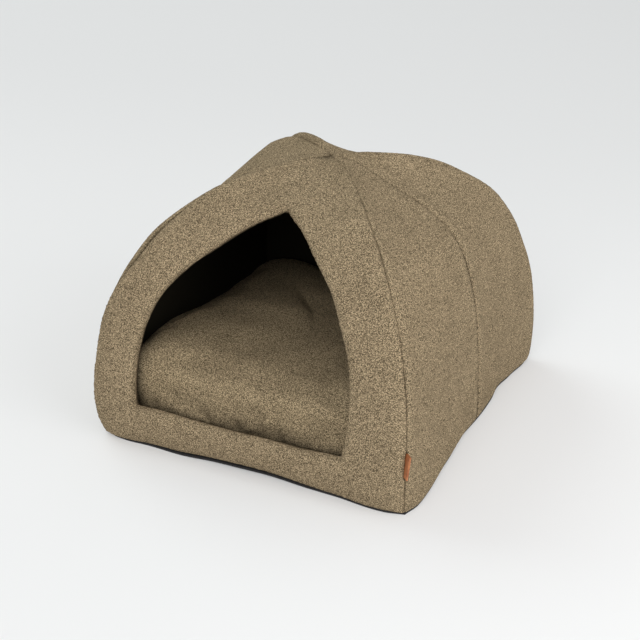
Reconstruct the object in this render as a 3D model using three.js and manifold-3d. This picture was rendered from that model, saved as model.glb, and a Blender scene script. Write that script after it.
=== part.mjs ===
import * as THREE from 'three';
import { mergeVertices } from 'three/addons/utils/BufferGeometryUtils.js';
import Module from 'manifold-3d';

// Dog cave bed: four padded walls that lean together to one point, on a thin base cloth, with a loose
// cushion. Millimetres, +Z up. The doorway faces -Y, and the origin is on the floor at the middle of the
// base.

// Driving dimensions.
const HEIGHT = 399;
const BASE = { thick: 3, inset: 3, curl: 30 };
const GAP = 0.3;
const WALL = 20;
const FOOT = BASE.thick + GAP;
// The walls meet in a small flat top, this half-width across, and the side seams lie this far behind the
// middle.
const TIP_HALF = 2.6;
const TOP_BACK = 25;
// How far from a ridge, a middle seam, the floor and the doorway a wall has its full thickness.
const PUFF_REACH = 26;
const MIDDLE_REACH = 12;
const FLOOR_ROUND = 24;
const DOOR_ROUND = 16;
const DOOR_LIP = 5;

// How far a wall is puffed out beside its first and its second seam, counter-clockwise seen from above, and
// how wide the wall is, on its way down from the top, where it reaches that.
const PUFF = {
  front: { first: 7, second: 7, fromWidth: 260 },
  rightFront: { first: 5, second: 3, fromWidth: 200 },
  rightBack: { first: 3, second: 4, fromWidth: 200 },
  back: { first: 1, second: 13, fromWidth: 90 },
  leftBack: { first: 14, second: 3, fromWidth: 160 },
  leftFront: { first: 3, second: 4, fromWidth: 200 },
};

// The walls from the floor to the top. halfWidth, front and back are the reaches of the corner ridges
// from the middle. The bows say how far the middle of a wall stands out from the straight line between
// its two ridges.
const SECTIONS = [
  { z: 0, halfWidth: 250, front: 257, back: 257, sideBow: -5, frontBow: 0, backBow: 0 },
  { z: 32, halfWidth: 253.6, front: 265.6, back: 265.6, sideBow: -5.5, frontBow: 3, backBow: 2 },
  { z: 75, halfWidth: 254.5, front: 267, back: 267, sideBow: -6, frontBow: 4, backBow: 4 },
  { z: 130, halfWidth: 251.6, front: 260.8, back: 260.8, sideBow: -5, frontBow: 3, backBow: 5 },
  { z: 190, halfWidth: 242.6, front: 247.6, back: 249.3, sideBow: -1.3, frontBow: 2, backBow: 5 },
  { z: 245, halfWidth: 226.3, front: 230, back: 234.7, sideBow: 3.4, frontBow: 2, backBow: 4 },
  { z: 283, halfWidth: 208.8, front: 213, back: 221, sideBow: 4.6, frontBow: 0, backBow: 2 },
  { z: 313, halfWidth: 190.5, front: 193, back: 204.5, sideBow: 0.4, frontBow: -3, backBow: -2 },
  { z: 341, halfWidth: 163.5, front: 161.3, back: 178, sideBow: -6.7, frontBow: -7, backBow: -7 },
  { z: 365, halfWidth: 132, front: 126, back: 149, sideBow: -14, frontBow: -11, backBow: -12 },
  { z: 383, halfWidth: 95.4, front: 78.7, back: 109.9, sideBow: -15, frontBow: -11, backBow: -12 },
  { z: 394, halfWidth: 48, front: 22, back: 64, sideBow: -4.7, frontBow: -5, backBow: -5 },
  { z: 399, halfWidth: 0, front: -25, back: 25, sideBow: 0, frontBow: 0, backBow: 0 },
];

// The doorway's edges, from the sill to the point at its top.
const DOORWAY = [
  { z: 70, left: -174, right: 150 },
  { z: 78, left: -181, right: 158 },
  { z: 108, left: -182, right: 162 },
  { z: 152, left: -179, right: 163 },
  { z: 198, left: -170, right: 157 },
  { z: 244, left: -149, right: 140 },
  { z: 285, left: -116, right: 116 },
  { z: 319, left: -80, right: 80 },
  { z: 350, left: -40, right: 36 },
  { z: 366, left: -13, right: 4 },
  { z: 369, left: -7, right: -3 },
];

// The front's lower edge lifts off the floor at its middle. The feet of the front and right walls spread
// at the corners, and the right one is pushed in near its back: out is how far it stands out at x or y,
// fading upwards.
const ARCH = { rise: 4, half: 160, depth: 60, fade: 70 };
const FRONT_WAVE = [{ at: -205, out: 5, half: 70 }, { at: 205, out: 6, half: 70 }];
const RIGHT_WAVE = [{ at: -205, out: 12, half: 100 }, { at: 138, out: -7, half: 70 }];
const WAVE_FADE = 80;
const WAVE_DEPTH = 60;

// The loose cushion: its rounded-square plan, the height of its seam and how far its crown stands over
// that. The crown is lower at the back corners and along the back.
const CUSHION = {
  halfWidth: 225, halfDepth: 242, seam: 74, crown: 60, squareness: 10, fullness: 0.28,
  cornerDrop: 0.25, backDrop: 18, sides: 64,
};
// Its sides from the middle of its underside up to the seam, as a share of the plan, and the rings of its
// crown.
const CUSHION_SIDE = [
  { reach: 0, z: 0 },
  { reach: 0.6, z: 0 },
  { reach: 0.88, z: 0 },
  { reach: 0.935, z: 5 },
  { reach: 0.965, z: 18 },
  { reach: 0.985, z: 38 },
  { reach: 1, z: CUSHION.seam },
];
const CROWN_REACHES = [0.996, 0.985, 0.965, 0.935, 0.89, 0.82, 0.72, 0.58, 0.4, 0.2, 0];

// The leather tab in the front right ridge seam: a strip folded once, its fold outwards.
const TAB = { length: 35, thick: 3, depth: 17, rootDepth: 8, z: 85, tilt: -0.12 };

// How finely the walls are divided: steps across a wall, along the front's lower edge and from the
// front's rim to the doorway. The doorway's points run a little ahead of the rim's, so that they stay
// evenly spaced.
const END_STEPS = 12;
const SIDE_STEPS = 8;
const FLOOR_STATIONS = 14;
const FRONT_FOOT_STEPS = 20;
const RIM_TO_DOOR = [0, 0.04, 0.12, 0.26, 0.5, 0.74, 0.88, 0.96, 1];
const DOOR_LEAD = 0.95;
const U_STEP = 0.002;
const MERGE_DISTANCE = 1e-4;

const CLOTH = { color: 0x8f7f66, roughness: 0.95, metalness: 0 };
const COLORS = {
  wall: CLOTH,
  cushion: { ...CLOTH, color: 0x87785f },
  base: { color: 0x17171a, roughness: 0.85, metalness: 0 },
  tab: { color: 0xae6b45, roughness: 0.6, metalness: 0 },
};

// A smooth line through the rows of one column of a table, at u from 0 to 1.
function column(rows, name) {
  const points = rows.map((row) => new THREE.Vector3(row[name], 0, 0));
  const line = new THREE.CatmullRomCurve3(points, false, 'catmullrom');
  return (u) => line.getPoint(Math.min(Math.max(u, 0), 1)).x;
}

function columns(rows) {
  return Object.fromEntries(Object.keys(rows[0]).map((name) => [name, column(rows, name)]));
}

const wall = columns(SECTIONS);
const door = columns(DOORWAY);

// The height of the walls' line at u, lifted so that the walls stand on the base cloth.
const heightAt = (u) => FOOT + wall.z(u) * (HEIGHT - FOOT) / HEIGHT;

// Where f, which only rises or only falls between low and high, reaches the target.
function solve(f, target, low, high) {
  for (let step = 0; step < 40; step += 1) {
    const middle = (low + high) / 2;
    if ((f(middle) < target) === (f(low) < f(high))) low = middle;
    else high = middle;
  }
  return (low + high) / 2;
}

const U_TOP = solve(wall.halfWidth, TIP_HALF, 0.9, 1);
const FOOT_HALF_WIDTH = SECTIONS[0].halfWidth;
const FOOT_FRONT = SECTIONS[0].front;

// Seams run from the floor to the top. A ridge is at the corner (x side, y side), a middle seam is at (x
// side, 0).
function seamPoint(xSide, ySide, u) {
  const front = -wall.front(u);
  const back = wall.back(u);
  const x = wall.halfWidth(u);
  if (ySide !== 0) return new THREE.Vector3(xSide * x, ySide < 0 ? front : back, heightAt(u));
  const out = sideNormal(xSide, u).multiplyScalar(wall.sideBow(u));
  return new THREE.Vector3(xSide * x, TOP_BACK, heightAt(u)).add(out);
}

// The way a ridge runs upwards at u.
function slope(xSide, ySide, u) {
  const low = Math.max(u - U_STEP, 0);
  const high = Math.min(u + U_STEP, 1);
  const y = ySide < 0 ? (v) => -wall.front(v) : wall.back;
  return new THREE.Vector3(
    xSide * (wall.halfWidth(high) - wall.halfWidth(low)), y(high) - y(low), heightAt(high) - heightAt(low),
  ).normalize();
}

// Outwards from a side wall, and from the front or back wall.
function sideNormal(xSide, u) {
  const rise = slope(xSide, -1, u);
  return new THREE.Vector3(xSide * rise.z, 0, -xSide * rise.x).normalize();
}

function endNormal(ySide, u) {
  const rise = slope(1, ySide, u);
  return new THREE.Vector3(0, ySide * rise.z, -ySide * rise.y).normalize();
}

// The same seam on the inside of the walls: one wall thickness in from both walls that meet there.
function innerSeamPoint(xSide, ySide, u) {
  const point = seamPoint(xSide, ySide, u);
  const side = sideNormal(xSide, u);
  if (ySide === 0) point.addScaledVector(side, -WALL);
  else {
    const end = endNormal(ySide, u);
    point.addScaledVector(side.clone().add(end), -WALL / (1 + side.dot(end)));
  }
  if (u === 0) point.z = FOOT;
  return point;
}

// 0 at a seam, 1 once a wall has reached its full puff, round like a stuffed edge.
function rounded(distance, reach) {
  const rest = 1 - Math.min(Math.max(distance / reach, 0), 1);
  return Math.sqrt(1 - rest * rest);
}

// 1 in the middle of a wave, and 0 from half its length on.
function hump(distance, half) {
  return Math.abs(distance) < half ? Math.cos(distance / half * Math.PI / 2) ** 2 : 0;
}

const archRise = (x) => ARCH.rise * hump(x, ARCH.half);
const waveAt = (waves, at) => waves.reduce((sum, wave) => sum + wave.out * hump(at - wave.at, wave.half), 0);

// How far a wall puffs out at s across some width, and how much of that is left beside its two seams.
function fullPuff(puff, s, width) {
  return THREE.MathUtils.lerp(puff.first, puff.second, s * s) * Math.min(width / puff.fromWidth, 1) ** 2;
}

function puffBetween(a, b, puff, s, width) {
  const edge = (seam, distance) => rounded(distance, seam[1] === 0 ? MIDDLE_REACH : PUFF_REACH);
  return fullPuff(puff, s, width) * edge(a, s * width) * edge(b, (1 - s) * width);
}

// A wall between seam a and seam b, counter-clockwise seen from above. bow(u) * crown is how far it
// arches out.
function makeWall(a, b, puff, bow, crown) {
  function chord(seamOf, u) {
    const start = seamOf(...a, u);
    const end = seamOf(...b, u);
    const along = end.clone().sub(start).normalize().multiplyScalar(GAP * Math.SQRT1_2);
    return [start.add(along), end.sub(along)];
  }
  function normal(s, u) {
    const [start, end] = chord(seamPoint, u);
    const [lowStart, lowEnd] = chord(seamPoint, Math.max(u - 2 * U_STEP, 0));
    const [highStart, highEnd] = chord(seamPoint, Math.min(u + 2 * U_STEP, U_TOP));
    const rise = highStart.lerp(highEnd, s).sub(lowStart.lerp(lowEnd, s));
    return end.sub(start).cross(rise).normalize();
  }
  return {
    puff(s, u) {
      const [start, end] = chord(seamPoint, u);
      return puffBetween(a, b, puff, s, start.distanceTo(end)) * rounded(heightAt(u) - FOOT, FLOOR_ROUND);
    },
    // The outer or inner face at s across and u up, standing out a little more.
    point(inner, s, u, more) {
      const [start, end] = chord(inner ? innerSeamPoint : seamPoint, u);
      const out = bow(u) * crown * s * (1 - s) + more;
      return start.lerp(end, s).addScaledVector(normal(s, u), out);
    },
  };
}

const FRONT = makeWall([-1, -1], [1, -1], PUFF.front, wall.frontBow, 4);
const BACK = makeWall([1, 1], [-1, 1], PUFF.back, wall.backBow, 4);
const RIGHT_FRONT = makeWall([1, -1], [1, 0], PUFF.rightFront, wall.sideBow, 1);
const RIGHT_BACK = makeWall([1, 0], [1, 1], PUFF.rightBack, wall.sideBow, 1);
const LEFT_BACK = makeWall([-1, 1], [-1, 0], PUFF.leftBack, wall.sideBow, 1);
const LEFT_FRONT = makeWall([-1, 0], [-1, -1], PUFF.leftFront, wall.sideBow, 1);

// Moves a point of the walls' outer face, or of the base cloth's edge, as the photographed bed has settled.
function settle(point) {
  const low = Math.max(1 - point.z / WAVE_FADE, 0) ** 2;
  const { x, y } = point;
  if (x > 0) point.x += waveAt(RIGHT_WAVE, y) * low * hump(x - FOOT_HALF_WIDTH, WAVE_DEPTH);
  point.y -= waveAt(FRONT_WAVE, x) * low * hump(y + FOOT_FRONT, WAVE_DEPTH);
  return point;
}

// Lifts a point of the front's lower edge into its arch.
function liftFoot(point) {
  const low = Math.max(1 - (point.z - FOOT) / ARCH.fade, 0);
  if (point.y < 0) point.z += archRise(point.x) * low * hump(point.y + FOOT_FRONT, ARCH.depth);
  return point;
}

// One closed solid from two facing grids of points, [row][column], seen counter-clockwise from outside.
function solidBetween(outer, inner, ring) {
  const rows = outer.length;
  const cols = outer[0].length;
  const { geometry, triangle } = meshOfTriangles();
  const lastRow = ring ? rows : rows - 1;
  for (let i = 0; i < lastRow; i += 1) {
    const k = (i + 1) % rows;
    for (let j = 0; j < cols - 1; j += 1) {
      triangle(outer[i][j], outer[k][j], outer[k][j + 1]);
      triangle(outer[i][j], outer[k][j + 1], outer[i][j + 1]);
      triangle(inner[i][j], inner[k][j + 1], inner[k][j]);
      triangle(inner[i][j], inner[i][j + 1], inner[k][j + 1]);
    }
  }
  // The band between the grids' edges. Its diagonals rise outwards-in on every wall, so that neighbours
  // match.
  const band = (outerLine, innerLine) => {
    for (let k = 0; k < outerLine.length - 1; k += 1) {
      const [a, b, c, d] = [outerLine[k], outerLine[k + 1], innerLine[k + 1], innerLine[k]];
      if (b.z >= a.z) {
        triangle(a, c, b);
        triangle(a, d, c);
      } else {
        triangle(b, a, d);
        triangle(b, d, c);
      }
    }
  };
  const columnOf = (grid, j) => grid.map((row) => row[j]);
  const closed = (line) => (ring ? [...line, line[0]] : line);
  band(closed(columnOf(outer, 0)), closed(columnOf(inner, 0)));
  band(closed(columnOf(outer, cols - 1)).reverse(), closed(columnOf(inner, cols - 1)).reverse());
  if (!ring) {
    band([...outer[0]].reverse(), [...inner[0]].reverse());
    band(outer[rows - 1], inner[rows - 1]);
  }
  return geometry();
}

// Collects triangles, each three points counter-clockwise from outside, into one geometry.
function meshOfTriangles() {
  const positions = [];
  return {
    triangle(...points) {
      points.forEach((point) => positions.push(point.x, point.y, point.z));
    },
    geometry() {
      const mesh = new THREE.BufferGeometry();
      mesh.setAttribute('position', new THREE.Float32BufferAttribute(positions, 3));
      return mesh;
    },
  };
}

// Steps from 0 to 1 that lie closer together at both ends.
const eased = (count) => Array.from({ length: count + 1 }, (_, k) => (1 - Math.cos(Math.PI * k / count)) / 2);

// Heights of the grid rows, two to each section.
const LEVEL_COUNT = 2 * (SECTIONS.length - 1);
const LEVELS = Array.from({ length: LEVEL_COUNT + 1 }, (_, k) => k / LEVEL_COUNT * U_TOP);

function plainWall(face, count) {
  const grid = (inner) => eased(count).map((s) => LEVELS.map((u) => {
    const point = face.point(inner, s, u, inner ? 0 : face.puff(s, u));
    if (u === 0) point.z = FOOT;
    return inner ? point : settle(point);
  }));
  return solidBetween(grid(false), grid(true), false);
}

// The front is a ring around the doorway: stations run along the floor, up the right ridge and down the
// left one.
function frontWall() {
  const doorPlace = (v, edge) => {
    const u = solve(heightAt, door.z(v), 0, 1);
    return { s: door[edge](v) / (2 * wall.halfWidth(u)) + 0.5, u };
  };
  const stations = [];
  const rising = LEVELS.map((u, k) => ({ u, v: (k / LEVEL_COUNT) ** DOOR_LEAD }));
  const sillEnds = [doorPlace(0, 'left'), doorPlace(0, 'right')];
  for (let k = 1; k < FLOOR_STATIONS; k += 1) {
    const s = k / FLOOR_STATIONS;
    const edge = { s: THREE.MathUtils.lerp(sillEnds[0].s, sillEnds[1].s, s), u: sillEnds[0].u };
    stations.push({ rim: { s, u: 0 }, edge });
  }
  const side = (s, edge) => rising.map(({ u, v }) => ({ rim: { s, u }, edge: doorPlace(v, edge) }));
  stations.push(...side(1, 'right'), ...side(0, 'left').reverse());
  const grid = (inner) => stations.map(({ rim, edge }) => {
    const start = FRONT.point(false, rim.s, rim.u, 0);
    const end = FRONT.point(false, edge.s, edge.u, 0);
    const reach = start.distanceTo(end);
    return RIM_TO_DOOR.map((step) => {
      const s = THREE.MathUtils.lerp(rim.s, edge.s, step);
      const u = THREE.MathUtils.lerp(rim.u, edge.u, step);
      const lip = rounded((1 - step) * reach, DOOR_ROUND);
      const full = fullPuff(PUFF.front, s, 2 * wall.halfWidth(u));
      const more = inner ? (1 - lip) * (WALL - DOOR_LIP) : full * lip * rounded(step * reach, PUFF_REACH);
      const point = FRONT.point(inner, s, u, more);
      // Towards the doorway the inner face lies straight behind the outer one.
      if (inner) point.lerp(FRONT.point(false, s, u, more - WALL), step);
      if (u === 0) point.z = FOOT;
      return liftFoot(inner ? point : settle(point));
    });
  });
  return solidBetween(grid(false), grid(true), true);
}

// The base cloth follows the foot of the walls, a little inside it, and curls up with the front's lower
// edge.
function basePanel() {
  const footPoint = (face, s) => settle(face.point(false, s, 0, 0));
  const along = (face, count) => Array.from({ length: count }, (_, k) => footPoint(face, k / count));
  const outline = [
    along(FRONT, FRONT_FOOT_STEPS),
    along(RIGHT_FRONT, SIDE_STEPS), along(RIGHT_BACK, SIDE_STEPS),
    along(BACK, END_STEPS),
    along(LEFT_BACK, SIDE_STEPS), along(LEFT_FRONT, SIDE_STEPS),
  ].flat();
  const ring = (distance, z, lifted) => outline.map(({ x, y }) => new THREE.Vector3(
    x * (1 - distance / FOOT_HALF_WIDTH),
    y * (1 - distance / FOOT_FRONT),
    z + (lifted && y < 0 ? archRise(x) * hump(y + FOOT_FRONT, ARCH.depth) : 0),
  ));
  return solidOfRings([
    outline.map(() => new THREE.Vector3(0, 0, 0)),
    ring(BASE.curl, 0, false), ring(BASE.inset, 0, true),
    ring(BASE.inset, BASE.thick, true), ring(BASE.curl, BASE.thick, false),
    outline.map(() => new THREE.Vector3(0, 0, BASE.thick)),
  ]);
}

// A closed solid from rings of points, seen counter-clockwise from above. The first and last ring are one
// point.
function solidOfRings(rings) {
  const { geometry, triangle } = meshOfTriangles();
  for (let i = 0; i < rings.length - 1; i += 1) {
    const [low, high] = [rings[i], rings[i + 1]];
    low.forEach((point, j) => {
      const k = (j + 1) % low.length;
      if (i > 0) triangle(point, low[k], high[k]);
      if (i < rings.length - 2) triangle(point, high[k], high[j]);
    });
  }
  return geometry();
}

// The cushion is a rounded square with a seam round its middle, drawn in below and crowned above.
function cushion() {
  const { halfWidth, halfDepth, seam, crown, squareness, fullness, cornerDrop, backDrop, sides } = CUSHION;
  const ring = (reach, height) => Array.from({ length: sides }, (_, k) => {
    const angle = (k + 0.5) / sides * 2 * Math.PI;
    const cos = Math.cos(angle);
    const sin = Math.sin(angle);
    const norm = (Math.abs(cos) ** squareness + Math.abs(sin) ** squareness) ** (1 / squareness);
    const x = reach * cos / norm;
    const y = reach * sin / norm;
    return new THREE.Vector3(x * halfWidth, y * halfDepth, FOOT + height(x, y));
  });
  const low = CUSHION_SIDE.map(({ reach, z }) => ring(reach, () => z));
  const top = CROWN_REACHES.map((reach) => ring(reach, (x, y) => {
    const back = Math.max(y, 0);
    const corner = 1 - cornerDrop * (Math.abs(x) * back) ** 1.5;
    return seam + crown * corner * (1 - reach ** 4) ** fullness - backDrop * back * (1 - reach ** 8);
  }));
  return solidOfRings([...low, ...top]);
}

const wasm = await Module();
wasm.setup();

function toManifold(geometry) {
  const bare = geometry.clone();
  bare.deleteAttribute('normal');
  bare.deleteAttribute('uv');
  const merged = mergeVertices(bare, MERGE_DISTANCE);
  return new wasm.Manifold(new wasm.Mesh({
    numProp: 3,
    vertProperties: new Float32Array(merged.attributes.position.array),
    triVerts: new Uint32Array(merged.index.array),
  }));
}

function toGeometry(manifold) {
  const mesh = manifold.getMesh();
  const geometry = new THREE.BufferGeometry();
  geometry.setAttribute('position', new THREE.BufferAttribute(new Float32Array(mesh.vertProperties), 3));
  geometry.setIndex(new THREE.BufferAttribute(new Uint32Array(mesh.triVerts), 1));
  return geometry;
}

// The tab's outline has square roots and a round fold. grow widens it, for the slot that it is sewn into.
function tabGeometry(grow) {
  const { length, thick, depth, rootDepth, z, tilt } = TAB;
  const half = thick / 2 + grow;
  const shape = new THREE.Shape();
  shape.moveTo(-rootDepth - grow, -half);
  shape.lineTo(depth - rootDepth - half, -half);
  shape.absarc(depth - rootDepth - half, 0, half, -Math.PI / 2, Math.PI / 2, false);
  shape.lineTo(-rootDepth - grow, half);
  shape.closePath();
  const geometry = new THREE.ExtrudeGeometry(shape, {
    depth: length + 2 * grow, bevelEnabled: false, curveSegments: 6,
  });
  geometry.translate(0, 0, -length / 2 - grow);
  geometry.rotateX(tilt);
  geometry.rotateZ(-Math.PI / 4);
  const seat = seamPoint(1, -1, solve(heightAt, z, 0, 0.5));
  geometry.translate(seat.x, seat.y, seat.z);
  return geometry;
}

const tabSlot = toManifold(tabGeometry(GAP));
const withSlot = (geometry) => toGeometry(toManifold(geometry).subtract(tabSlot));

const bed = new THREE.Group();

function place(name, geometry, finish) {
  const mesh = new THREE.Mesh(geometry, new THREE.MeshStandardMaterial(finish));
  mesh.name = name;
  bed.add(mesh);
}

place('front_panel', withSlot(frontWall()), COLORS.wall);
place('back_panel', plainWall(BACK, END_STEPS), COLORS.wall);
place('side_right_front', withSlot(plainWall(RIGHT_FRONT, SIDE_STEPS)), COLORS.wall);
place('side_right_back', plainWall(RIGHT_BACK, SIDE_STEPS), COLORS.wall);
place('side_left_front', plainWall(LEFT_FRONT, SIDE_STEPS), COLORS.wall);
place('side_left_back', plainWall(LEFT_BACK, SIDE_STEPS), COLORS.wall);
place('base_panel', basePanel(), COLORS.base);
place('cushion', cushion(), COLORS.cushion);
place('leather_tab', tabGeometry(0), COLORS.tab);

export default bed;
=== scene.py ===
import math

import bmesh
import bpy
import numpy as np
from mathutils import Matrix, Vector, noise


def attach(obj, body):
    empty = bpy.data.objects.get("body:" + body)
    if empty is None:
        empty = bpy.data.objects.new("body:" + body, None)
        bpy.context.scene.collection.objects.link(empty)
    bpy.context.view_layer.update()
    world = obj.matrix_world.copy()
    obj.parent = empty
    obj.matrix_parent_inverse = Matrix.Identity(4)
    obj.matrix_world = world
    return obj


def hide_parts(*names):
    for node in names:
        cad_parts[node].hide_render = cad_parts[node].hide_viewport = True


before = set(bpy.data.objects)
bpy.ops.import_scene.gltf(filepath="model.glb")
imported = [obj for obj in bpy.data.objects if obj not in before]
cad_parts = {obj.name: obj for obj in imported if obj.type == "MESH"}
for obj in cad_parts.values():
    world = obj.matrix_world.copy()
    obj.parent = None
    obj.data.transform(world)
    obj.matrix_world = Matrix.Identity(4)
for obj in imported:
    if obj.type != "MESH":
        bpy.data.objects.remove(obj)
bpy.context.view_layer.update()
noise.seed_set(1)

# Dog cave bed. Metres, +Z up, doorway towards -Y.

# The bed's own sizes, the same as its solids'. The walls' foot is a gap above the base cloth.
HEIGHT = 0.399
BASE_THICK = 0.003
GAP = 0.0003
WALL = 0.020
FOOT = BASE_THICK + GAP

# The peak's half width, how far back it and the middle seams are, and how far those drift forwards.
TIP_HALF = 0.0026
TOP_BACK = 0.025
SEAM_DRIFT = 0.010

# Corners, as the side across and the side along, and the middle seams, which are 0 along.
FRONT_LEFT, FRONT_RIGHT, BACK_RIGHT, BACK_LEFT = (-1, -1), (1, -1), (1, 1), (-1, 1)
MIDDLE_LEFT, MIDDLE_RIGHT = (-1, 0), (1, 0)

# Reach of the padding's round edges at a ridge, a middle seam, the floor and the doorway, and their slant.
PUFF_REACH = 0.026
MIDDLE_REACH = 0.018
FLOOR_ROUND = 0.015
DOOR_ROUND = 0.016
SEAM_SOFT = 0.0016

# How far a wall is puffed out beside its first and second seam, counter-clockwise seen from above, how much
# its filling swells beside them, and how wide it is, coming down from the top, where it reaches that. Where
# it fills out past a ridge, that ridge and how far.
PUFF = {
    "front": {"first": 0.007, "second": 0.007, "swell": 0.0, "from_width": 0.260},
    "right_front": {"first": 0.005, "second": 0.003, "swell": 0.0010, "from_width": 0.200},
    "right_back": {"first": 0.002, "second": 0.005, "swell": 0.0020, "from_width": 0.150},
    "back": {
        "first": 0.001, "second": 0.013, "swell": 0.0025, "from_width": 0.100, "fill": (BACK_RIGHT, 0.006),
    },
    "left_back": {"first": 0.014, "second": 0.003, "swell": 0.0010, "from_width": 0.160},
    "left_front": {
        "first": 0.003, "second": 0.002, "swell": 0.0, "from_width": 0.200, "fill": (FRONT_LEFT, 0.006),
    },
}
SWELL_REACH = 0.028
FILL_REACH = 0.045

# Stretches where a ridge lies in from the outline: its move, and the stretch's middle and half height.
RIDGE_MOVES = {
    FRONT_LEFT: {"move": (0.0075, 0, -0.0015), "middle": 0.300, "half": 0.085},
    BACK_RIGHT: {"move": (-0.0010, -0.0010, -0.0045), "middle": 0.363, "half": 0.036},
}

# The walls from the floor up: height, the ridges' half-width and reach to the front and back, and how far
# the middles of the side, front and back walls stand out from the line between ridges.
SECTION_COLUMNS = ("z", "half_width", "front", "back", "side_bow", "front_bow", "back_bow")
SECTIONS = (
    (0.000, 0.2500, 0.2570, 0.2570, -0.0050, 0.000, 0.000),
    (0.032, 0.2536, 0.2656, 0.2656, -0.0055, 0.003, 0.002),
    (0.075, 0.2545, 0.2670, 0.2670, -0.0060, 0.004, 0.004),
    (0.130, 0.2516, 0.2608, 0.2608, -0.0050, 0.003, 0.005),
    (0.190, 0.2426, 0.2476, 0.2493, -0.0013, 0.002, 0.005),
    (0.245, 0.2263, 0.2300, 0.2347, 0.0034, 0.002, 0.004),
    (0.283, 0.2088, 0.2130, 0.2210, 0.0046, 0.000, 0.002),
    (0.313, 0.1905, 0.1930, 0.2045, 0.0004, -0.003, -0.002),
    (0.341, 0.1635, 0.1613, 0.1780, -0.0067, -0.007, -0.007),
    (0.365, 0.1320, 0.1260, 0.1490, -0.0140, -0.011, -0.012),
    (0.383, 0.0954, 0.0787, 0.1099, -0.0150, -0.011, -0.012),
    (0.394, 0.0480, 0.0220, 0.0640, -0.0047, -0.005, -0.005),
    (0.399, 0.0000, -0.0250, 0.0250, 0.0000, 0.000, 0.000),
)

# The doorway's left and right edge, from the sill to the point at its top.
DOORWAY_COLUMNS = ("z", "left", "right")
DOORWAY = (
    (0.070, -0.180, 0.155),
    (0.078, -0.182, 0.159),
    (0.108, -0.182, 0.162),
    (0.152, -0.179, 0.163),
    (0.198, -0.170, 0.157),
    (0.244, -0.149, 0.140),
    (0.285, -0.116, 0.116),
    (0.319, -0.080, 0.080),
    (0.350, -0.040, 0.036),
    (0.366, -0.013, 0.004),
    (0.369, -0.007, -0.003),
)

# The front is a band round the doorway, whose rows run up that a little ahead of the ridges. Its lip rolls
# in, clear of the swell and the grooves, and the dark lining, painted near black also as the shade inside,
# starts behind it.
DOOR_LEAD = 0.95
FRONT_BAND = 0.105
FRONT_RING = 1.45
DOOR_LIP = 0.005
LIP_ROLL = {"reach": 0.0035, "depth": 0.0022}
DOOR_CLEAR = {"swell": 0.02, "groove": 0.01}
LINING_FADE = 0.006

# The front's lower edge arches off the floor with the base cloth, and a little further off that cloth.
ARCH = {"rise": 0.004, "half": 0.160, "depth": 0.060, "fade": 0.070}
EDGE_GAP = {"middle": 0.040, "half": 0.170, "rise": 0.0016}

# The feet spread in waves: middle, way out and half length of each. They fade upwards and inwards.
FRONT_WAVE = (
    (-0.258, -0.009, 0.035), (-0.205, 0.004, 0.045), (-0.105, 0.003, 0.055), (0.040, -0.002, 0.060),
    (0.205, 0.006, 0.070),
)
RIGHT_WAVE = (
    (-0.262, -0.005, 0.035), (-0.205, 0.0115, 0.100), (-0.110, 0.007, 0.100), (0.050, 0.0045, 0.100),
    (0.142, -0.004, 0.045), (0.235, 0.005, 0.050),
)
WAVE_FADE = 0.080
WAVE_DEPTH = 0.060

# The base cloth shows past the front, and comes out there between these pairs of places. The black edge
# that shows there is partly the cloth's own colour and partly painted shade, standing for the contact shadow
# under the front's edge.
BASE_PROUD = 0.0028
BASE_SHOWS = {"left": (-0.22, -0.15), "right": (0.25, 0.22), "front": (-0.20, -0.24)}
BASE_SQUARES = 84

# The loose cushion: its sizes, how square it is, how full and flat its crown is, and how far that drops at
# the back and its corners. Its sides go down to the floor through these rings.
CUSHION = {
    "half_width": 0.225, "half_depth": 0.242, "seam": 0.074, "crown": 0.060, "squareness": 10,
    "fullness": 0.28, "flatness": 4, "corner_drop": 0.15, "back_drop": 0.014,
}
CUSHION_SIDE_LEVELS = (0, 0.60, 0.80, 0.86, 0.92, 0.96, 1)
CUSHION_SIDE_REACH = (0, 0.60, 0.88, 0.935, 0.965, 0.985, 1)
CUSHION_SIDE_HEIGHT = (0, 0, 0, 0.005, 0.018, 0.038, CUSHION["seam"])
CUSHION_SQUARES = 120
CUSHION_SHOWN = (0.03, 0.05)

# How the cushion lies: it bulges at the left wall, is fuller at its front and left, and stays in the room.
BULGE = {"x": -0.205, "y": -0.130, "half_x": 0.110, "half_y": 0.200, "rise": 0.010, "fullness": 0.03}
FRONT_FULL = {"fullness": 0.15, "squareness": 26}
LEFT_FULLNESS = 0.16
FULLER = (-0.3, -0.8)
ROOM = {"x": 0.2252, "front": 0.2455, "back": 0.2428}

# A crease runs over its crown from the back to the front, steep on its left and long on its right.
CREASE = {
    "from": (-0.085, 0.080), "to": (0.005, -0.045), "depth": 0.0072, "left": 0.011, "right": 0.050,
    "bend": 0.008, "sharpness": 1.3, "fade": 0.35, "above": 0.09,
}

# Its simulation: its mesh, how much smaller it starts, how far a point may move, its pressure and frames.
PLUMP = {"voxel": 0.0053, "smaller": 0.002, "cap": 0.006, "pressure": 4.0, "frames": 20}

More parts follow.
